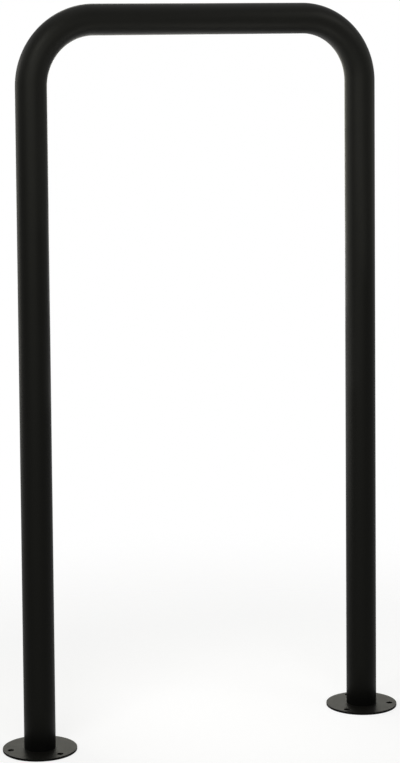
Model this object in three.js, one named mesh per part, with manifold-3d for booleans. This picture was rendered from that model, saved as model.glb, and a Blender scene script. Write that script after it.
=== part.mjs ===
// Hoop bike rack: one round steel tube bent into an upturned U, on two round base flanges.
// Lengths are in millimetres, angles in degrees, and +Z is up. The origin lies on the ground,
// midway between the legs, and the hoop stands in the X-Z plane.

import * as THREE from "three";
import { mergeVertices } from "three/addons/utils/BufferGeometryUtils.js";
import Module from "manifold-3d";

const wasm = await Module();
wasm.setup();

// Driving dimensions of the hoop tube
const tubeDiameter = 42.4;
const tubeWall = 2.6;
const rackHeight = 1000;
const widthOverLegs = 525;
const bendRadius = 88; // to the middle of the tube

// Driving dimensions of each base flange
const flangeDiameter = 100;
const flangeThickness = 3;
const flangeEdgeBreak = 0.4; // the punched edge is eased by this much, above and below
const boltHoleDiameter = 8.5;
const boltEdgeDistance = 10; // from the middle of a bolt hole to the flange's rim
const boltHoleCount = 3;
const leftHoleTurn = 54; // from +X to the first hole, about the leg, seen from above
const rightHoleTurn = 93; // each flange was welded on in its own turn

// How the tube is seated in a flange and welded from below
const seatClearance = 0.3; // round the tube, in the flange's central bore
const tubeEndLift = 1.5; // from the ground to the tube's cut end, inside the bore
const weldWidth = 3;
const weldLift = 0.3; // the bead stays this far above the ground
const weldCrown = 0.3; // how much lower the bead's middle hangs than its two edges

// Facets
const roundSides = 48; // round a tube, bore, bead or flange
const bendSteps = 10; // along each quarter bend
const boltHoleSides = 24;

// Sizes that follow from the driving ones
const tubeRadius = tubeDiameter / 2;
const tubeBoreRadius = tubeRadius - tubeWall;
const legOffset = widthOverLegs / 2 - tubeRadius;
const crownHeight = rackHeight - tubeRadius; // the middle of the top bar
const bendStartHeight = crownHeight - bendRadius;
const bendCentreOffset = legOffset - bendRadius;
const seatRadius = tubeRadius + seatClearance;
const flangeRadius = flangeDiameter / 2;
const boltCircleRadius = flangeRadius - boltEdgeDistance;
const drillOverrun = flangeThickness; // how far the drill runs past each face of a flange

// Powder coat and weld, as they look
const coatColour = 0x1d1d1b;
const coatRoughness = 0.55;
const weldColour = 0x232321;
const weldRoughness = 0.7;

const fullTurn = 2 * Math.PI;
const quarterTurn = Math.PI / 2;

function coat(name) {
  const material = new THREE.MeshStandardMaterial({
    color: coatColour,
    roughness: coatRoughness,
    metalness: 0,
  });
  material.name = name;
  return material;
}

function coatedWeld(name) {
  const material = coat(name);
  material.color.set(weldColour);
  material.roughness = weldRoughness;
  return material;
}

// The corners of a regular polygon on a circle, counter-clockwise, with one corner on each half axis.
function circleCorners(radius, sides) {
  return Array.from({ length: sides }, (_, i) => {
    const angle = (i / sides) * fullTurn;
    return new THREE.Vector2(radius * Math.cos(angle), radius * Math.sin(angle));
  });
}

// The hoop's centreline: up the left leg, round a bend, along the top, round a bend, down the right leg.
// It stops only where the tube changes direction, so a straight stretch is a single step long.
class HoopCentreline extends THREE.Curve {
  constructor() {
    super();
    this.stations = [
      this.station(-legOffset, tubeEndLift, 0),
      ...this.bendStations(-bendCentreOffset, 0),
      ...this.bendStations(bendCentreOffset, quarterTurn),
      this.station(legOffset, tubeEndLift, Math.PI),
    ];
  }

  get steps() {
    return this.stations.length - 1;
  }

  // A place on the centreline and its heading, turned from straight up towards +X.
  station(x, z, heading) {
    return {
      point: new THREE.Vector3(x, 0, z),
      tangent: new THREE.Vector3(Math.sin(heading), 0, Math.cos(heading)),
    };
  }

  bendStations(centreX, firstHeading) {
    return Array.from({ length: bendSteps + 1 }, (_, i) => {
      const heading = firstHeading + (i / bendSteps) * quarterTurn;
      const x = centreX - bendRadius * Math.cos(heading);
      const z = bendStartHeight + bendRadius * Math.sin(heading);
      return this.station(x, z, heading);
    });
  }

  stationAt(share) {
    return this.stations[Math.round(share * this.steps)];
  }

  getPointAt(share, target = new THREE.Vector3()) {
    return target.copy(this.stationAt(share).point);
  }

  getTangentAt(share, target = new THREE.Vector3()) {
    return target.copy(this.stationAt(share).tangent);
  }
}

// The bent tube, open at both cut ends.
function hoopTube() {
  const section = new THREE.Shape(circleCorners(tubeRadius, roundSides));
  section.holes.push(new THREE.Path(circleCorners(tubeBoreRadius, roundSides)));
  const centreline = new HoopCentreline();
  const geometry = new THREE.ExtrudeGeometry(section, {
    steps: centreline.steps,
    extrudePath: centreline,
  });
  const mesh = new THREE.Mesh(geometry, coat("hoop_coat"));
  mesh.name = "hoop_tube";
  return mesh;
}

// A closed ring about Z. The profile's points are given as radius and height, counter-clockwise.
function ring(profile) {
  const corners = [...profile, profile[0]];
  const outline = corners.map(([radius, height]) => new THREE.Vector2(radius, height));
  return new THREE.LatheGeometry(outline, roundSides).rotateX(quarterTurn);
}

function toSolid(geometry) {
  const bare = geometry.clone();
  bare.deleteAttribute("normal");
  bare.deleteAttribute("uv");
  const merged = mergeVertices(bare);
  return new wasm.Manifold(
    new wasm.Mesh({
      numProp: 3,
      vertProperties: merged.attributes.position.array,
      triVerts: new Uint32Array(merged.index.array),
    }),
  );
}

function toGeometry(solid) {
  const { vertProperties, triVerts } = solid.getMesh();
  const geometry = new THREE.BufferGeometry();
  geometry.setAttribute("position", new THREE.BufferAttribute(vertProperties, 3));
  geometry.setIndex(new THREE.BufferAttribute(triVerts, 1));
  geometry.computeVertexNormals();
  return geometry;
}

// A round plate with its seat for the tube bored through the middle and its edge eased.
function flangeBlank() {
  const easedRadius = flangeRadius - flangeEdgeBreak;
  return ring([
    [seatRadius, 0],
    [easedRadius, 0],
    [flangeRadius, flangeEdgeBreak],
    [flangeRadius, flangeThickness - flangeEdgeBreak],
    [easedRadius, flangeThickness],
    [seatRadius, flangeThickness],
  ]);
}

// One bolt hole's drill, upright through a flange at its place on the bolt circle.
function boltDrill(turn) {
  const radius = boltHoleDiameter / 2;
  const length = flangeThickness + 2 * drillOverrun;
  const drill = new THREE.CylinderGeometry(radius, radius, length, boltHoleSides);
  drill.rotateX(quarterTurn);
  drill.translate(boltCircleRadius, 0, flangeThickness / 2);
  return drill.rotateZ(turn);
}

function baseFlange(side, holeTurn) {
  let solid = toSolid(flangeBlank());
  for (let i = 0; i < boltHoleCount; i++) {
    const turn = THREE.MathUtils.degToRad(holeTurn) + (i / boltHoleCount) * fullTurn;
    solid = solid.subtract(toSolid(boltDrill(turn)));
  }
  const mesh = new THREE.Mesh(toGeometry(solid), coat(side + "_flange_coat"));
  mesh.name = side + "_base_flange";
  return mesh;
}

// The weld bead, under the tube's cut end and inside the flange's bore, where the ground hides it.
function weldBead(side) {
  const outerRadius = seatRadius - seatClearance;
  const innerRadius = outerRadius - weldWidth;
  const middleRadius = (innerRadius + outerRadius) / 2;
  const edgeHeight = weldLift + weldCrown;
  const geometry = ring([
    [innerRadius, edgeHeight],
    [middleRadius, weldLift],
    [outerRadius, edgeHeight],
    [outerRadius, tubeEndLift],
    [innerRadius, tubeEndLift],
  ]);
  const mesh = new THREE.Mesh(geometry, coatedWeld(side + "_weld_coat"));
  mesh.name = side + "_weld_bead";
  return mesh;
}

// A foot is a flange and its weld bead, centred under one leg.
function foot(side, x, holeTurn) {
  const group = new THREE.Group();
  group.position.x = x;
  group.add(baseFlange(side, holeTurn), weldBead(side));
  return group;
}

const rack = new THREE.Group();
rack.name = "hoop_bike_rack";
rack.add(hoopTube(), foot("left", -legOffset, leftHoleTurn), foot("right", legOffset, rightHoleTurn));

export default rack;
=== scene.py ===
"""A hoop bike rack: one bent steel tube on two round base flanges, powder coated in matte black.

Lengths are in metres and +Z is up. The hoop stands in the X-Z plane, its origin on the ground midway
between the legs, as in the frame that this script loads.
"""

from __future__ import annotations

import logging
import math
from collections.abc import Callable, Sequence
from dataclasses import dataclass, field, replace
from enum import Enum, IntEnum

import bmesh
import bpy
from mathutils import Matrix, Vector
from mathutils.geometry import tessellate_polygon


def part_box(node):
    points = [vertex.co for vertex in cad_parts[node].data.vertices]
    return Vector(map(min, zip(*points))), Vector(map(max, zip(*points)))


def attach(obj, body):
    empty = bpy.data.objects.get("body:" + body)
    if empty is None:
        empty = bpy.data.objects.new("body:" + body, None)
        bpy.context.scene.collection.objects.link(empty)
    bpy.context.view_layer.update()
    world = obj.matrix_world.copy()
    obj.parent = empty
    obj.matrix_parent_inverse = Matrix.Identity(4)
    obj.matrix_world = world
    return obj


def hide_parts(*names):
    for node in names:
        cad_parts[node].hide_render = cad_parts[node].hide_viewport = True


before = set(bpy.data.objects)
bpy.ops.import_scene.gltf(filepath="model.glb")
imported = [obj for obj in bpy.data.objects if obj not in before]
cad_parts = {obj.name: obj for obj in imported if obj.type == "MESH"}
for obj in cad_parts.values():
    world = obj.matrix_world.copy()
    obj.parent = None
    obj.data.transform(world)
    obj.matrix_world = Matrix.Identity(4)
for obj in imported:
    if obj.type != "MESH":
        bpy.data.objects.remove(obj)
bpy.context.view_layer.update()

log = logging.getLogger("hoop_bike_rack")

BODY = "root"
MM = 0.001

Point = tuple[float, float, float]
Tone = tuple[float, float, float]
Ring = list[int]
Profile = list[tuple[float, float]]


class Side(Enum):
    """One of the rack's two legs, by the name that its nodes start with."""

    LEFT = "left"
    RIGHT = "right"


class Slot(Enum):
    """The record's material slots."""

    HOOP = "hoop_coat"
    FLANGE = "flange_coat"
    WELD = "weld_coat"


class PlateCoat(IntEnum):
    """The two coats of a base flange, by their number on the piece."""

    FACE = 0
    EDGE = 1


def added(name: str, data: bpy.types.ID) -> bpy.types.Object:
    """Makes an object and adds it to the scene.

    Args:
        name: The object's name.
        data: Its mesh, lamp or camera.

    Returns:
        The object.
    """
    made = bpy.data.objects.new(name, data)
    bpy.context.scene.collection.objects.link(made)
    return made


# Finishes


def blank_material(name: str) -> bpy.types.Material:
    """Makes a material whose node tree is still empty.

    Args:
        name: The material's name.

    Returns:
        The material.
    """
    made = bpy.data.materials.new(name)
    made.use_nodes = True
    made.node_tree.nodes.clear()
    return made


@dataclass(frozen=True)
class PowderCoat:
    """A fine-textured powder coat: a dielectric skin with grain, orange peel and slight drifts of tone.

    Attributes:
        name: The material's name.
        tone: Linear base colour where the coat lies as usual.
        pale_tone: Linear base colour where the coat lies thinner or has been handled.
        roughness: Middle roughness.
        roughness_spread: How far the roughness drifts to either side.
        specular: Specular level of the matted skin.
        specular_tint: Colour of what the skin reflects when it is seen face on.
        grain_size: Width of one grain of the texture.
        grain_depth: Height of the grain.
        peel_size: Width of one wave of the orange peel.
        peel_depth: Height of the peel.
        tone_drift_size: Width of one patch of drifting tone.
        tone_drift_octaves: Octaves of finer noise in the drifting tone.
        sheen_drift_size: Width of one patch of drifting roughness.
        sheen_drift_octaves: Octaves of finer noise in the drifting roughness.
    """

    name: str
    tone: Tone
    pale_tone: Tone
    roughness: float = 0.46
    roughness_spread: float = 0.03
    specular: float = 0.058
    specular_tint: Tone = (1.0, 1.0, 0.88)
    grain_size: float = 0.5 * MM
    grain_depth: float = 0.012 * MM
    peel_size: float = 2.6 * MM
    peel_depth: float = 0.02 * MM
    tone_drift_size: float = 45 * MM
    tone_drift_octaves: float = 3.0
    sheen_drift_size: float = 15 * MM
    sheen_drift_octaves: float = 2.0

    def material(self) -> bpy.types.Material:
        """Builds the coat's node tree.

        Returns:
            A material that needs no UV map and no image.
        """
        made = blank_material(self.name)
        tree = made.node_tree
        place = tree.nodes.new("ShaderNodeTexCoord").outputs["Object"]
        shader = tree.nodes.new("ShaderNodeBsdfPrincipled")
        shader.inputs["Specular IOR Level"].default_value = self.specular
        shader.inputs["Specular Tint"].default_value = (*self.specular_tint, 1.0)
        tree.links.new(self._drifting_tone(tree, place), shader.inputs["Base Color"])
        tree.links.new(self._drifting_roughness(tree, place), shader.inputs["Roughness"])
        tree.links.new(self._relief(tree, place), shader.inputs["Normal"])
        output = tree.nodes.new("ShaderNodeOutputMaterial")
        tree.links.new(shader.outputs["BSDF"], output.inputs["Surface"])
        return made

    def _drifting_tone(
        self, tree: bpy.types.NodeTree, place: bpy.types.NodeSocket
    ) -> bpy.types.NodeSocket:
        """Adds the base colour, which drifts between the coat's two tones.

        Args:
            tree: The material's node tree.
            place: The socket that gives the point on the surface.

        Returns:
            The socket with the colour.
        """
        drift = self._noise(tree, place, self.tone_drift_size, self.tone_drift_octaves)
        tone = tree.nodes.new("ShaderNodeMix")
        tone.data_type = "RGBA"
        tone.inputs["A"].default_value = (*self.tone, 1.0)
        tone.inputs["B"].default_value = (*self.pale_tone, 1.0)
        tree.links.new(drift, tone.inputs["Factor"])
        return tone.outputs["Result"]

    def _drifting_roughness(
        self, tree: bpy.types.NodeTree, place: bpy.types.NodeSocket
    ) -> bpy.types.NodeSocket:
        """Adds the roughness, which drifts to either side of its middle.

        Args:
            tree: The material's node tree.
            place: The socket that gives the point on the surface.

        Returns:
            The socket with the roughness.
        """
        drift = self._noise(tree, place, self.sheen_drift_size, self.sheen_drift_octaves)
        sheen = tree.nodes.new("ShaderNodeMapRange")
        sheen.inputs["To Min"].default_value = self.roughness - self.roughness_spread
        sheen.inputs["To Max"].default_value = self.roughness + self.roughness_spread
        tree.links.new(drift, sheen.inputs["Value"])
        return sheen.outputs["Result"]

    def _relief(self, tree: bpy.types.NodeTree, place: bpy.types.NodeSocket) -> bpy.types.NodeSocket:
        """Adds the orange peel with the grain on top of it.

        Args:
            tree: The material's node tree.
            place: The socket that gives the point on the surface.

        Returns:
            The socket with the bent normal.
        """
        peel = self._noise(tree, place, self.peel_size)
        return self._grain(tree, place, self._bump(tree, peel, self.peel_depth))

    def _grain(
        self, tree: bpy.types.NodeTree, place: bpy.types.NodeSocket, under: bpy.types.Node
    ) -> bpy.types.NodeSocket:
        """Adds the grain on top of another bump.

        Args:
            tree: The material's node tree.
            place: The socket that gives the point on the surface.
            under: The bump that the grain lies on.

        Returns:
            The socket with the bent normal.
        """
        grain = self._bump(tree, self._noise(tree, place, self.grain_size), self.grain_depth)
        tree.links.new(under.outputs["Normal"], grain.inputs["Normal"])
        return grain.outputs["Normal"]

    @staticmethod
    def _noise(
        tree: bpy.types.NodeTree, place: bpy.types.NodeSocket, size: float, octaves: float = 1.0
    ) -> bpy.types.NodeSocket:
        """Adds a noise whose features are about as wide as the size.

        Args:
            tree: The material's node tree.
            place: The socket that gives the point on the surface.
            size: Width of one feature.
            octaves: Octaves of finer noise on top.

        Returns:
            The socket with the noise's height, from 0 to 1.
        """
        node = tree.nodes.new("ShaderNodeTexNoise")
        node.inputs["Scale"].default_value = 1.0 / size
        node.inputs["Detail"].default_value = octaves
        tree.links.new(place, node.inputs["Vector"])
        return node.outputs["Fac"]

    @staticmethod
    def _bump(tree: bpy.types.NodeTree, height: bpy.types.NodeSocket, depth: float) -> bpy.types.Node:
        """Adds a bump of real depth.

        Args:
            tree: The material's node tree.
            height: The socket with the bump's height, from 0 to 1.
            depth: What a height of 1 stands for.

        Returns:
            The bump node, whose own Normal input is still free.
        """
        node = tree.nodes.new("ShaderNodeBump")
        node.inputs["Distance"].default_value = depth
        tree.links.new(height, node.inputs["Height"])
        return node


@dataclass(frozen=True)
class CutEdgeCoat(PowderCoat):
    """The same coat over a cut edge of the plate, where the cut's upright marks still show through.

    Attributes:
        mark_size: Distance between two marks along the edge.
        mark_depth: Depth of a mark.
        mark_stretch: How many times longer than wide a mark is.
    """

    mark_size: float = 0.6 * MM
    mark_depth: float = 0.05 * MM
    mark_stretch: float = 12.0

    def _relief(self, tree: bpy.types.NodeTree, place: bpy.types.NodeSocket) -> bpy.types.NodeSocket:
        """Adds the marks with the grain of the coat on top of them.

        Args:
            tree: The material's node tree.
            place: The socket that gives the point on the surface.

        Returns:
            The socket with the bent normal.
        """
        stretch = tree.nodes.new("ShaderNodeMapping")
        stretch.inputs["Scale"].default_value = (1.0, 1.0, 1.0 / self.mark_stretch)
        tree.links.new(place, stretch.inputs["Vector"])
        marks = self._noise(tree, stretch.outputs["Vector"], self.mark_size)
        return self._grain(tree, place, self._bump(tree, marks, self.mark_depth))


def shown_level(tree: bpy.types.NodeTree, shown: float, lighting: float) -> bpy.types.NodeSocket:
    """A brightness that differs between what is seen and what lights matte surfaces.

    Args:
        tree: The node tree of a material or a world.
        shown: The brightness for the camera and for what glossy and clear surfaces show.
        lighting: The brightness for all other rays.

    Returns:
        The socket with the brightness.
    """
    path = tree.nodes.new("ShaderNodeLightPath")
    glossy = tree.nodes.new("ShaderNodeMath")
    glossy.operation = "MAXIMUM"
    tree.links.new(path.outputs["Is Glossy Ray"], glossy.inputs[0])
    tree.links.new(path.outputs["Is Transmission Ray"], glossy.inputs[1])
    seen = tree.nodes.new("ShaderNodeMath")
    seen.operation = "MAXIMUM"
    tree.links.new(path.outputs["Is Camera Ray"], seen.inputs[0])
    tree.links.new(glossy.outputs["Value"], seen.inputs[1])
    level = tree.nodes.new("ShaderNodeMapRange")
    level.inputs["To Min"].default_value = lighting
    level.inputs["To Max"].default_value = shown
    tree.links.new(seen.outputs["Value"], level.inputs["Value"])
    return level.outputs["Result"]


@dataclass(frozen=True)
class FloorPaint:
    """The floor's matte pale paint, which glows a little and turns clear towards the floor's edge.

    Attributes:
        name: The material's name.
        albedo: How much light it sends back.
        glow: What it shows besides, so that it stands even with the white room.
        fade_start_share: Where it starts to turn clear, as a share of its reach.
    """

    name: str = "pale_floor"
    albedo: float = 0.3
    glow: float = 0.728
    fade_start_share: float = 0.25

    def material(self, reach: float) -> bpy.types.Material:
        """Builds the paint's node tree.

        Args:
            reach: How far from its middle the paint is wholly clear.

        Returns:
            A material that needs no UV map and no image.
        """
        made = blank_material(self.name)
        tree = made.node_tree
        new, link = tree.nodes.new, tree.links.new
        diffuse = new("ShaderNodeBsdfDiffuse")
        diffuse.inputs["Color"].default_value = (self.albedo, self.albedo, self.albedo, 1.0)
        glow = new("ShaderNodeEmission")
        link(shown_level(tree, self.glow, 0.0), glow.inputs["Strength"])
        both = new("ShaderNodeAddShader")
        link(diffuse.outputs["BSDF"], both.inputs[0])
        link(glow.outputs["Emission"], both.inputs[1])
        clear = new("ShaderNodeBsdfTransparent")
        mix = new("ShaderNodeMixShader")
        link(self._fade(tree, reach), mix.inputs["Fac"])
        link(both.outputs["Shader"], mix.inputs[1])
        link(clear.outputs["BSDF"], mix.inputs[2])
        output = new("ShaderNodeOutputMaterial")
        link(mix.outputs["Shader"], output.inputs["Surface"])
        return made

    def _fade(self, tree: bpy.types.NodeTree, reach: float) -> bpy.types.NodeSocket:
        """Adds the fade from the painted middle to the clear edge.

        Args:
            tree: The material's node tree.
            reach: How far from its middle the paint is wholly clear.

        Returns:
            The socket with how clear the paint is, from 0 to 1.
        """
        new, link = tree.nodes.new, tree.links.new
        place = new("ShaderNodeTexCoord")
        distance = new("ShaderNodeVectorMath")
        distance.operation = "LENGTH"
        link(place.outputs["Object"], distance.inputs[0])
        fade = new("ShaderNodeMapRange")
        fade.interpolation_type = "SMOOTHSTEP"
        fade.inputs["From Min"].default_value = reach * self.fade_start_share
        fade.inputs["From Max"].default_value = reach
        link(distance.outputs["Value"], fade.inputs["Value"])
        return fade.outputs["Result"]


# Mesh building


@dataclass
class MeshDraft:
    """The points and faces of one piece, gathered before Blender gets them.

    Attributes:
        points: The points.
        faces: The indices of each face's corners.
        coats: The number of each face's coat among the piece's own.
    """

    points: list[Vector] = field(default_factory=list)
    faces: list[tuple[int, ...]] = field(default_factory=list)
    coats: list[int] = field(default_factory=list)

    def face(self, corners: tuple[int, ...], coat: int = 0) -> None:
        """Adds one face, with the number of its coat."""
        self.faces.append(corners)
        self.coats.append(coat)

    def ring(self, points: Sequence[Vector]) -> Ring:
        """Adds a closed ring of points.

        Args:
            points: The points in order.

        Returns:
            Their indices.
        """
        first = len(self.points)
        self.points.extend(points)
        return list(range(first, first + len(points)))

    def band(self, start: Ring, end: Ring, coat: int = 0) -> None:
        """Joins two rings of as many points with quads.

        Args:
            start: The ring that the band starts from.
            end: The ring that it ends at.
            coat: The number of its coat.
        """
        for i, corner in enumerate(start):
            after = (i + 1) % len(start)
            self.face((corner, start[after], end[after], end[i]), coat)

    def loft(self, rings: Sequence[Ring]) -> None:
        """Joins each ring to the next, and the last one to the first.

        Args:
            rings: The rings in order.
        """
        for start, end in zip(rings, [*rings[1:], rings[0]]):
            self.band(start, end)

    def sheet(self, outline: Ring, holes: Sequence[Ring], coat: int = 0) -> None:
        """Fills a flat region with triangles.

        Args:
            outline: The ring round the region.
            holes: The rings round what is left open in it.
            coat: The number of its coat.
        """
        rings = [outline, *holes]
        numbers = [index for ring in rings for index in ring]
        polylines = [[self.points[index] for index in ring] for ring in rings]
        for triangle in tessellate_polygon(polylines):
            self.face(tuple(numbers[i] for i in triangle), coat)

    def piece(self, name: str, slot: Slot, *finishes: bpy.types.Material) -> bpy.types.Object:
        """Makes the object, with its faces turned outwards and shaded smooth.

        Args:
            name: The piece's name.
            slot: The record's slot that its finish belongs to; not used.
            finishes: Its materials, in the order of the coats' numbers.

        Returns:
            The object, which rides on the rack's one body.
        """
        mesh = bpy.data.meshes.new(name)
        mesh.from_pydata(self.points, [], self.faces)
        for finish in finishes:
            mesh.materials.append(finish)
        mesh.polygons.foreach_set("material_index", self.coats)
        mesh.validate()
        turn_outwards(mesh)
        mesh.shade_smooth()
        made = added(name, mesh)
        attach(made, BODY)
        return made


def turn_outwards(mesh: bpy.types.Mesh) -> None:
    """Turns every face of a closed mesh outwards.

    Args:
        mesh: The mesh to turn.
    """
    work = bmesh.new()
    work.from_mesh(mesh)
    bmesh.ops.recalc_face_normals(work, faces=work.faces)
    work.to_mesh(mesh)
    work.free()


def circle(radius: float, sides: int, place: Callable[[float, float], Vector]) -> list[Vector]:
    """Points round a circle.

    Args:
        radius: The circle's radius.
        sides: How many points it has.
        place: Turns a point of the circle's own plane into a point in space.

    Returns:
        The points in order, the first on the plane's own first axis.
    """
    turns = (2 * math.pi * i / sides for i in range(sides))
    return [place(radius * math.cos(turn), radius * math.sin(turn)) for turn in turns]


# The hoop tube


QUARTER_TURN = math.pi / 2
UP = 0.0
ACROSS = UP + QUARTER_TURN
DOWN = ACROSS + QUARTER_TURN


@dataclass(frozen=True)
class Station:
    """A place on the tube's centreline.

    Attributes:
        point: The place.
        heading: The direction of the tube there, turned from straight up towards +X.
        squeeze: How much narrower the tube is there in the plane of the bend, as a share of its radius.
        bulge_share: How much wider the tube is square to that plane, as a share of the squeeze.
    """

    point: Vector
    heading: float
    squeeze: float = 0.0
    bulge_share: float = 0.5

    def ring(self, radius: float, sides: int) -> list[Vector]:
        """A ring round the centreline, square to it, slightly oval where the bend squeezed the tube.

        Args:
            radius: The ring's radius where the tube is round.
            sides: How many points it has.

        Returns:
            The ring's points.
        """
        across = Vector((math.cos(self.heading), 0.0, -math.sin(self.heading)))
        narrow = 1.0 - self.squeeze
        wide = 1.0 + self.squeeze * self.bulge_share

        def place(u: float, v: float) -> Vector:
            """Puts a point of the ring's own plane in its place on the tube."""
            return self.point + across * (u * narrow) + Vector((0.0, v * wide, 0.0))

        return circle(radius, sides, place)


@dataclass
class HoopTube:
    """The bent tube, hollow and open at its two cut ends.

    Attributes:
        radius: Outer radius of the tube.
        leg_offset: From the middle of the hoop to the middle of a leg.
        crown_height: Height of the middle of the top bar.
        cut_height: Height of the tube's two cut ends.
        wall: Thickness of the tube's wall.
        bend_radius: Radius of each bend, to the middle of the tube.
        squeeze_share: How much the tube is narrowed in the middle of a bend, as a share of its radius.
        deburr: Width of the eased edge at each cut end.
        ring_spacing: Distance between rings along the straight stretches.
        sides: Points round the tube.
        bend_steps: Rings along each bend.
    """

    radius: float
    leg_offset: float
    crown_height: float
    cut_height: float
    wall: float = 2.6 * MM
    bend_radius: float = 88 * MM
    squeeze_share: float = 0.008
    deburr: float = 0.3 * MM
    ring_spacing: float = 60 * MM
    sides: int = 128
    bend_steps: int = 48

    @classmethod
    def from_frame(cls) -> HoopTube:
        """Reads the tube's place and outer sizes off its CAD node.

        Returns:
            The tube, still to be built.
        """
        low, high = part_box("hoop_tube")
        radius = high.y
        return cls(
            radius=radius,
            leg_offset=high.x - radius,
            crown_height=high.z - radius,
            cut_height=low.z,
        )

    def straight(self, start: Vector, end: Vector, heading: float) -> list[Station]:
        """Stations from the start of a straight stretch up to, but without, its end."""
        steps = max(1, round((end - start).length / self.ring_spacing))
        return [Station(start.lerp(end, i / steps), heading) for i in range(steps)]

    def bend(self, centre_x: float, first_heading: float) -> list[Station]:
        """Stations round a quarter bend, without its last one.

        Args:
            centre_x: Where the bend's centre is across the hoop.
            first_heading: The tube's direction where the bend starts.

        Returns:
            The stations, squeezed most in the middle of the bend.
        """
        centre = Vector((centre_x, 0.0, self.crown_height - self.bend_radius))
        stations = []
        for i in range(self.bend_steps):
            share = i / self.bend_steps
            heading = first_heading + share * QUARTER_TURN
            arm = Vector((-math.cos(heading), 0.0, math.sin(heading))) * self.bend_radius
            squeeze = self.squeeze_share * math.sin(share * math.pi) ** 2
            stations.append(Station(centre + arm, heading, squeeze))
        return stations

    def stations(self) -> list[Station]:
        """The whole centreline, up the left leg, over the top and down the right leg.

        Returns:
            The stations, from one cut end to the other.
        """
        leg_x, bend_x = self.leg_offset, self.leg_offset - self.bend_radius
        shoulder = self.crown_height - self.bend_radius
        cut, top = self.cut_height, self.crown_height
        left_cut, left_shoulder = Vector((-leg_x, 0.0, cut)), Vector((-leg_x, 0.0, shoulder))
        right_cut, right_shoulder = Vector((leg_x, 0.0, cut)), Vector((leg_x, 0.0, shoulder))
        left_top, right_top = Vector((-bend_x, 0.0, top)), Vector((bend_x, 0.0, top))
        return [
            *self.straight(left_cut, left_shoulder, UP),
            *self.bend(-bend_x, UP),
            *self.straight(left_top, right_top, ACROSS),
            *self.bend(bend_x, ACROSS),
            *self.straight(right_shoulder, right_cut, DOWN),
            Station(right_cut, DOWN),
        ]

    def build(self, finish: bpy.types.Material) -> bpy.types.Object:
        """Makes the tube, outside and bore in one closed skin, and lets it stand for its CAD node.

        Args:
            finish: The coat on it.

        Returns:
            The finished piece.
        """
        draft = MeshDraft()
        stations = self.stations()
        inner = self.radius - self.wall
        eased_outer, eased_inner = self.radius - self.deburr, inner + self.deburr
        lift = Vector((0.0, 0.0, self.deburr))
        ends = {0: lift, len(stations) - 1: lift}
        outer_rings, inner_rings = [], []
        for i, station in enumerate(stations):
            at = replace(station, point=station.point + ends.get(i, Vector()))
            outer_rings.append(draft.ring(at.ring(self.radius, self.sides)))
            inner_rings.append(draft.ring(at.ring(inner, self.sides)))
        first, last = stations[0], stations[-1]
        draft.loft(
            [
                draft.ring(first.ring(eased_inner, self.sides)),
                draft.ring(first.ring(eased_outer, self.sides)),
                *outer_rings,
                draft.ring(last.ring(eased_outer, self.sides)),
                draft.ring(last.ring(eased_inner, self.sides)),
                *reversed(inner_rings),
            ]
        )
        made = draft.piece("bent_tube", Slot.HOOP, finish)
        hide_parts("hoop_tube")
        return made


# The feet


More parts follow.
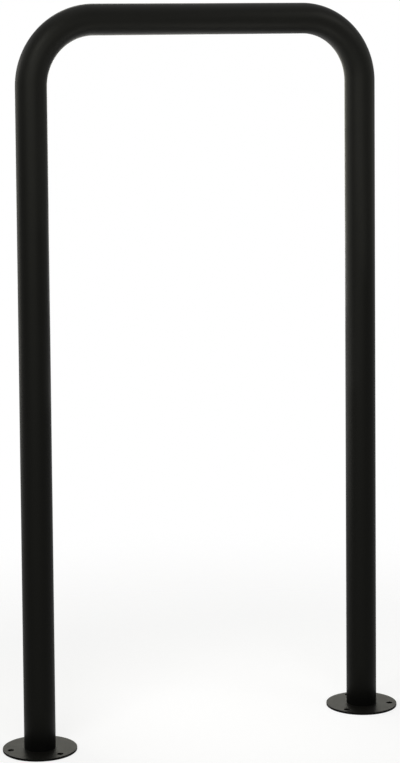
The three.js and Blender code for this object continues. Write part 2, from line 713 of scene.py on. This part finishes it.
@dataclass
class BaseFlange:
    """A round base flange, bored for the tube, with bolt holes and its coat's fillet round the tube.

    Attributes:
        side: The leg that it belongs to.
        centre_x: Where the leg's middle is.
        radius: Outer radius.
        thickness: Thickness of the plate.
        tube_radius: Outer radius of the tube that stands in it.
        hole_turn: From +X to the first bolt hole, in degrees, seen from above.
        hole_radius: Radius of a bolt hole.
        hole_count: How many bolt holes there are.
        edge_distance: From the middle of a bolt hole to the rim.
        seat_clearance: Gap round the tube in the plate's bore.
        rim_round: Radius of the coat over the rim's upper and lower edge.
        hole_round: Radius of the coat over the edges of the bolt holes.
        coat_fillet: Radius of the coat's fillet between plate and tube.
        support: Distance from a rounded edge to the ring that keeps the flat beside it flat.
        sides: Points round the plate.
        hole_sides: Points round a bolt hole.
        round_steps: Steps over a rounded edge.
    """

    side: Side
    centre_x: float
    radius: float
    thickness: float
    tube_radius: float
    hole_turn: float
    hole_radius: float = 4.25 * MM
    hole_count: int = 3
    edge_distance: float = 10 * MM
    seat_clearance: float = 0.3 * MM
    rim_round: float = 0.4 * MM
    hole_round: float = 0.2 * MM
    coat_fillet: float = 0.35 * MM
    support: float = 0.15 * MM
    sides: int = 160
    hole_sides: int = 40
    round_steps: int = 6

    @classmethod
    def from_frame(cls, side: Side, tube_radius: float, hole_turn: float) -> BaseFlange:
        """Reads the flange's place and outer sizes off its CAD node.

        Args:
            side: The leg that it belongs to.
            tube_radius: Outer radius of the tube that stands in it.
            hole_turn: From +X to the first bolt hole, in degrees.

        Returns:
            The flange, still to be built.
        """
        low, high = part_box(f"{side.value}_base_flange")
        return cls(
            side=side,
            centre_x=(low.x + high.x) / 2,
            radius=(high.x - low.x) / 2,
            thickness=high.z,
            tube_radius=tube_radius,
            hole_turn=hole_turn,
        )

    def arc(self, middle: tuple[float, float], radius: float, start: float, end: float) -> Profile:
        """Points of an arc in a profile of radius and height.

        Args:
            middle: The arc's centre.
            radius: Its radius.
            start: The angle that it starts at, in degrees from straight outwards.
            end: The angle that it ends at.

        Returns:
            The arc's points, both ends included.
        """
        step = (end - start) / self.round_steps
        turns = [math.radians(start + step * i) for i in range(self.round_steps + 1)]
        return [
            (middle[0] + radius * math.cos(turn), middle[1] + radius * math.sin(turn))
            for turn in turns
        ]

    def rim_profile(self) -> Profile:
        """The rim from the underside's flat to the top's flat.

        Returns:
            Radius and height of each ring.
        """
        inset = self.radius - self.rim_round
        low, high = self.rim_round, self.thickness - self.rim_round
        return [
            (inset - self.support, 0.0),
            *self.arc((inset, low), self.rim_round, -90, 0),
            *self.arc((inset, high), self.rim_round, 0, 90),
            (inset - self.support, self.thickness),
        ]

    def seat_profile(self) -> Profile:
        """The seat round the tube, from the top's flat over the fillet and down through the bore.

        Returns:
            Radius and height of each ring.
        """
        reach = self.tube_radius + self.coat_fillet
        bore = self.tube_radius + self.seat_clearance
        seal = self.thickness - self.seat_clearance
        return [
            (reach + self.support, self.thickness),
            *self.arc((reach, self.thickness + self.coat_fillet), self.coat_fillet, -90, -180),
            (self.tube_radius, seal),
            (bore, seal - self.seat_clearance),
            (bore, self.hole_round),
            (bore + self.hole_round, 0.0),
            (bore + self.hole_round + self.support, 0.0),
        ]

    def hole_profile(self) -> Profile:
        """A bolt hole from the top's flat through to the underside's flat.

        Returns:
            Radius and height of each ring.
        """
        outset = self.hole_radius + self.hole_round
        low, high = self.hole_round, self.thickness - self.hole_round
        return [
            (outset + self.support, self.thickness),
            *self.arc((outset, high), self.hole_round, 90, 180),
            *self.arc((outset, low), self.hole_round, 180, 270),
            (outset + self.support, 0.0),
        ]

    def turned(self, draft: MeshDraft, profile: Profile, centre: Vector, sides: int) -> list[Ring]:
        """Turns a profile round an upright axis, with the edge's coat on its steep stretches.

        Args:
            draft: Where the points and faces go.
            profile: Radius and height of each ring.
            centre: Where the axis meets the ground.
            sides: Points in each ring.

        Returns:
            The rings, in the profile's order.
        """
        rings = []
        for radius, height in profile:
            base = centre + Vector((0.0, 0.0, height))
            points = circle(radius, sides, lambda u, v, base=base: base + Vector((u, v, 0.0)))
            rings.append(draft.ring(points))
        for i, (start, end) in enumerate(zip(profile, profile[1:])):
            steep = abs(end[1] - start[1]) > abs(end[0] - start[0])
            draft.band(rings[i], rings[i + 1], PlateCoat.EDGE if steep else PlateCoat.FACE)
        return rings

    def build(
        self, face_finish: bpy.types.Material, edge_finish: bpy.types.Material
    ) -> bpy.types.Object:
        """Makes the plate and lets it stand for its CAD node.

        Args:
            face_finish: The coat on its two faces.
            edge_finish: The coat on its cut edges: the rim and the walls of the holes, made darker and
                less glossy as painted shade.

        Returns:
            The finished piece.
        """
        draft = MeshDraft()
        centre = Vector((self.centre_x, 0.0, 0.0))
        rim = self.turned(draft, self.rim_profile(), centre, self.sides)
        seat = self.turned(draft, self.seat_profile(), centre, self.sides)
        holes = []
        for i in range(self.hole_count):
            turn = math.radians(self.hole_turn) + 2 * math.pi * i / self.hole_count
            arm = Vector((math.cos(turn), math.sin(turn), 0.0)) * (self.radius - self.edge_distance)
            holes.append(self.turned(draft, self.hole_profile(), centre + arm, self.hole_sides))
        draft.sheet(rim[-1], [seat[0], *(hole[0] for hole in holes)], PlateCoat.FACE)
        draft.sheet(rim[0], [seat[-1], *(hole[-1] for hole in holes)], PlateCoat.FACE)
        name = f"{self.side.value}_flange_plate"
        made = draft.piece(name, Slot.FLANGE, face_finish, edge_finish)
        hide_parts(f"{self.side.value}_base_flange")
        return made


@dataclass
class WeldBead:
    """The rippled weld bead under a tube's cut end, inside the flange's bore.

    Attributes:
        side: The leg that it belongs to.
        centre_x: Where the leg's middle is.
        outer_radius: Outer radius of the bead.
        low: Height of the bead's lowest point.
        high: Height of the tube's cut end, where the bead's flat top lies.
        width: From the bead's inner edge to its outer edge.
        crown_share: Height of the rounded part of the bead, as a share of the whole height.
        ripple_length: Length of one ripple along the bead.
        ripple_depth: Height of a ripple.
        ripple_lag_share: How far the ripples trail at the bead's edges, as a share of a ripple.
        steps_per_ripple: Points along one ripple.
        crown_steps: Points across the bead.
    """

    side: Side
    centre_x: float
    outer_radius: float
    low: float
    high: float
    width: float = 3 * MM
    crown_share: float = 0.5
    ripple_length: float = 1.6 * MM
    ripple_depth: float = 0.12 * MM
    ripple_lag_share: float = 0.6
    steps_per_ripple: int = 4
    crown_steps: int = 10

    @classmethod
    def from_frame(cls, side: Side) -> WeldBead:
        """Reads the bead's place and outer sizes off its CAD node.

        Args:
            side: The leg that it belongs to.

        Returns:
            The bead, still to be built.
        """
        low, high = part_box(f"{side.value}_weld_bead")
        return cls(
            side=side,
            centre_x=(low.x + high.x) / 2,
            outer_radius=(high.x - low.x) / 2,
            low=low.z,
            high=high.z,
        )

    @property
    def inner_radius(self) -> float:
        """Inner radius of the bead."""
        return self.outer_radius - self.width

    @property
    def middle_radius(self) -> float:
        """Radius of the circle that runs along the middle of the bead."""
        return (self.inner_radius + self.outer_radius) / 2

    def section(self, turn: float, ripples: int) -> Profile:
        """Radius and height round the bead's section at one place along it.

        Args:
            turn: Where the section is, in radians about the leg.
            ripples: How many ripples the bead has.

        Returns:
            The section's points, over the crown below and back along the flat top.
        """
        half = (self.outer_radius - self.inner_radius) / 2
        crown = (self.high - self.low) * self.crown_share
        points = []
        for i in range(self.crown_steps + 1):
            across = -math.cos(math.pi * i / self.crown_steps)
            phase = ripples * turn - 2 * math.pi * self.ripple_lag_share * across**2
            dome = math.sqrt(max(0.0, 1.0 - across**2))
            ripple = self.ripple_depth * dome * (1.0 + math.cos(phase)) / 2
            points.append((self.middle_radius + half * across, self.low + crown * (1 - dome) + ripple))
        return [*points, (self.outer_radius, self.high), (self.inner_radius, self.high)]

    def build(self, finish: bpy.types.Material) -> bpy.types.Object:
        """Makes the bead and lets it stand for its CAD node.

        Args:
            finish: The coat on it.

        Returns:
            The finished piece.
        """
        draft = MeshDraft()
        ripples = round(2 * math.pi * self.middle_radius / self.ripple_length)
        count = ripples * self.steps_per_ripple
        base = Vector((self.centre_x, 0.0, 0.0))
        rings = []
        for i in range(count):
            turn = 2 * math.pi * i / count
            out = Vector((math.cos(turn), math.sin(turn), 0.0))
            section = self.section(turn, ripples)
            points = [base + out * radius + Vector((0.0, 0.0, height)) for radius, height in section]
            rings.append(draft.ring(points))
        draft.loft(rings)
        made = draft.piece(f"{self.side.value}_rippled_bead", Slot.WELD, finish)
        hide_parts(f"{self.side.value}_weld_bead")
        return made


# The studio


WHITE: Tone = (1.0, 1.0, 1.0)
WARM: Tone = (1.0, 0.98, 0.84)


@dataclass
class Camera:
    """The photograph's viewing angle, with the lens shifted so that the legs stay nearly upright.

    Attributes:
        place: Where the camera stands.
        yaw: How far it is turned from +Y towards +X, in degrees.
        pitch: How far it looks down, in degrees.
        roll: How far it leans, in degrees.
        focal_pixels: The focal length in pixels of the image.
        image_height: The image's long side in pixels.
        shift: The lens's vertical shift, as a share of the long side.
        sensor: The sensor's long side, in Blender's millimetres.
    """

    place: Point = (-1.1313, -2.7352, 0.9686)
    yaw: float = 22.441
    pitch: float = 4.118
    roll: float = -0.477
    focal_pixels: float = 2177.3
    image_height: float = 763.0
    shift: float = -0.26
    sensor: float = 36.0

    def axes(self) -> tuple[Vector, Vector, Vector]:
        """The directions that the camera's own axes have in the scene.

        Returns:
            Its right, up and forward directions.
        """
        yaw, pitch, roll = (math.radians(angle) for angle in (self.yaw, self.pitch, self.roll))
        level = math.cos(pitch)
        forward = Vector((math.sin(yaw) * level, math.cos(yaw) * level, -math.sin(pitch)))
        right = Vector((math.cos(yaw), -math.sin(yaw), 0.0))
        up = right.cross(forward)
        leaning_right = math.cos(roll) * right + math.sin(roll) * up
        leaning_up = math.cos(roll) * up - math.sin(roll) * right
        return leaning_right, leaning_up, forward

    def build(self) -> bpy.types.Object:
        """Makes the camera and gives it to the scene.

        Returns:
            The camera.
        """
        data = bpy.data.cameras.new("camera")
        data.sensor_width = self.sensor
        data.lens = self.focal_pixels / self.image_height * self.sensor
        data.shift_y = self.shift
        made = added("camera", data)
        right, up, forward = self.axes()
        turn = Matrix((right, up, -forward)).transposed().to_4x4()
        made.matrix_world = Matrix.Translation(self.place) @ turn
        bpy.context.scene.camera = made
        return made


@dataclass
class Floor:
    """A plain pale floor, which fades into the white room some way from the rack.

    Attributes:
        radius: How far the floor reaches.
        drop: How far it lies below the ground, so that the flanges' undersides stay clear of it.
        sides: Points round its edge.
        paint: Its finish.
    """

    radius: float = 1.2
    drop: float = 0.1 * MM
    sides: int = 96
    paint: FloorPaint = FloorPaint()

    def build(self) -> bpy.types.Object:
        """Makes the floor.

        Returns:
            The floor.
        """
        draft = MeshDraft()
        edge = draft.ring(circle(self.radius, self.sides, lambda u, v: Vector((u, v, -self.drop))))
        draft.face(tuple(edge))
        mesh = bpy.data.meshes.new("floor")
        mesh.from_pydata(draft.points, [], draft.faces)
        mesh.materials.append(self.paint.material(self.radius))
        made = added("floor", mesh)
        return made


@dataclass
class Softbox:
    """A soft panel of light that faces a point.

    Attributes:
        name: The panel's name.
        place: Its middle.
        aim: What it faces.
        size: Its width and height.
        brightness: How bright it looks, in multiples of the room's white.
        tint: The colour of its light.
    """

    name: str
    place: Point
    aim: Point
    size: tuple[float, float]
    brightness: float
    tint: Tone = WHITE

    def build(self) -> bpy.types.Object:
        """Makes the panel, which lights the rack but isn't seen by the camera.

        Returns:
            The panel.
        """
        data = bpy.data.lights.new(self.name, "AREA")
        data.shape = "RECTANGLE"
        data.size, data.size_y = self.size
        # A panel that looks this bright from all sides sends out pi times that for each square metre
        data.energy = math.pi * data.size * data.size_y * self.brightness
        data.color = self.tint
        made = added(self.name, data)
        made.location = self.place
        towards = Vector(self.aim) - Vector(self.place)
        made.rotation_mode = "QUATERNION"
        made.rotation_quaternion = towards.to_track_quat("-Z", "Y")
        made.visible_camera = False
        return made


@dataclass
class Studio:
    """The white room: world, floor and soft panels round the rack.

    The panels stand round the rack, between its legs and over it, and draw the soft streaks along the
    tube. Two small ones light the bends. The cards lie before, between and behind the legs and light the
    top bar from below. What faces straight up or down aims slightly towards +Y, so that its width runs
    along X.

    Attributes:
        white: Brightness of the room as the camera and glossy surfaces see it.
        ambient: Brightness of the room as it lights matte surfaces, beside the panels.
        floor: The floor.
        panels: The panels and cards.
    """

    white: float = 1.0
    ambient: float = 0.18
    floor: Floor = field(default_factory=Floor)
    panels: tuple[Softbox, ...] = (
        Softbox("front_panel", (-1.58, -2.65, 1.1), (-0.42, 0.17, 1.1), (3.6, 0.4), 14.7),
        Softbox("left_bend_panel", (-0.55, -0.45, 1.3), (-0.2, 0.0, 1.3), (0.3, 0.3), 12.2),
        Softbox("right_bend_panel", (0.6, -0.45, 1.3), (0.22, 0.0, 1.3), (0.3, 0.3), 8.3),
        Softbox("right_panel", (0.9, -0.1, 0.9), (0.0, 0.0, 0.9), (0.5, 0.6), 0.75, WARM),
        Softbox("left_panel", (-0.75, 0.35, 1.25), (0.0, 0.0, 1.25), (0.8, 0.5), 1.26),
        Softbox("inner_panel", (-0.15, 0.15, 0.6), (0.25, 0.0, 0.6), (0.15, 0.8), 3.35),
        Softbox("left_back_panel", (-1.3, 1.7, 0.775), (0.0, 0.0, 0.775), (0.8, 1.45), 2.57, WARM),
        Softbox("back_panel", (0.9, 2.6, 0.7), (0.0, 0.0, 0.7), (1.8, 0.8), 3.4, WARM),
        Softbox("inner_back_panel", (0.05, 0.5, 0.95), (0.0, 0.0, 0.95), (0.4, 0.7), 2.3, WARM),
        Softbox("overhead_panel", (0.0, 0.0, 1.5), (0.0, 0.001, 0.9), (1.0, 0.6), 0.77),
        Softbox("front_card", (0.0, -0.3, 0.7), (0.0, -0.29, 0.97), (0.5, 0.2), 1.9),
        Softbox("right_front_card", (0.25, -0.3, 0.6), (0.25, -0.299, 0.97), (0.2, 0.15), 7.0),
        Softbox("middle_card", (0.03, 0.0, 0.45), (0.03, 0.001, 0.97), (0.32, 0.3), 0.78),
        Softbox("high_back_card", (0.1, 0.3, 0.6), (0.0, 0.0, 0.97), (0.4, 0.2), 1.75),
        Softbox("low_back_card", (0.0, 0.45, 0.35), (0.0, 0.0, 0.97), (0.4, 0.3), 0.94),
    )

    def build(self) -> None:
        """Makes the room, the floor and the panels, and sets the plain view transform."""
        world = bpy.data.worlds.new("white_room")
        world.use_nodes = True
        tree = world.node_tree
        background = tree.nodes["Background"]
        background.inputs["Color"].default_value = (*WHITE, 1.0)
        tree.links.new(shown_level(tree, self.white, self.ambient), background.inputs["Strength"])
        bpy.context.scene.world = world
        bpy.context.scene.view_settings.view_transform = "Standard"
        self.floor.build()
        for panel in self.panels:
            panel.build()


# The rack


TUBE_COAT = PowderCoat(
    "matte_black_tube_coat",
    tone=(0.0026, 0.0026, 0.0023),
    pale_tone=(0.0034, 0.0034, 0.0030),
)
PLATE_COAT = PowderCoat(
    "matte_black_plate_coat",
    tone=(0.0023, 0.0022, 0.0018),
    pale_tone=(0.0031, 0.0030, 0.0025),
    roughness=0.5,
    specular=0.06,
    specular_tint=(1.0, 0.98, 0.82),
)
# Darker and less glossy than the plate coat: painted shade on the flanges' rims, bore and bolt-hole
# walls; only the cut marks are real relief.
CUT_EDGE_PAINTED_SHADE_COAT = CutEdgeCoat(
    "matte_black_edge_coat_painted_shade",
    tone=(0.0010, 0.0010, 0.0009),
    pale_tone=(0.0016, 0.0016, 0.0014),
    roughness=0.6,
    specular=0.04,
)
BEAD_COAT = PowderCoat(
    "matte_black_bead_coat",
    tone=(0.0040, 0.0040, 0.0037),
    pale_tone=(0.0060, 0.0060, 0.0054),
)


@dataclass
class BikeRack:
    """The whole rack: the hoop tube and a foot under each leg.

    Attributes:
        hole_turns: From +X to each flange's first bolt hole, in degrees.
        hoop_coat: The coat on the tube.
        flange_coat: The coat on the flanges' faces.
        edge_coat: The coat on the flanges' cut edges, whose darker tone and lower gloss are painted
            shade.
        weld_coat: The coat on the weld beads.
    """

    hole_turns: dict[Side, float] = field(default_factory=lambda: {Side.LEFT: 54.0, Side.RIGHT: 93.0})
    hoop_coat: PowderCoat = TUBE_COAT
    flange_coat: PowderCoat = PLATE_COAT
    edge_coat: PowderCoat = CUT_EDGE_PAINTED_SHADE_COAT
    weld_coat: PowderCoat = BEAD_COAT

    def build(self) -> list[bpy.types.Object]:
        """Makes every piece of the rack.

        Returns:
            The pieces, tube first.
        """
        hoop_finish = self.hoop_coat.material()
        flange_finish = self.flange_coat.material()
        edge_finish = self.edge_coat.material()
        weld_finish = self.weld_coat.material()
        tube = HoopTube.from_frame()
        pieces = [tube.build(hoop_finish)]
        for side, turn in self.hole_turns.items():
            flange = BaseFlange.from_frame(side, tube.radius, turn)
            pieces.append(flange.build(flange_finish, edge_finish))
            pieces.append(WeldBead.from_frame(side).build(weld_finish))
        return pieces


def main() -> None:
    """Builds the rack and its studio, and reports each piece."""
    logging.basicConfig(level=logging.INFO, format="%(name)s: %(message)s")
    Camera().build()
    for piece in BikeRack().build():
        log.info("%s: %d faces", piece.name, len(piece.data.polygons))
    Studio().build()


if __name__ == "__main__":
    main()
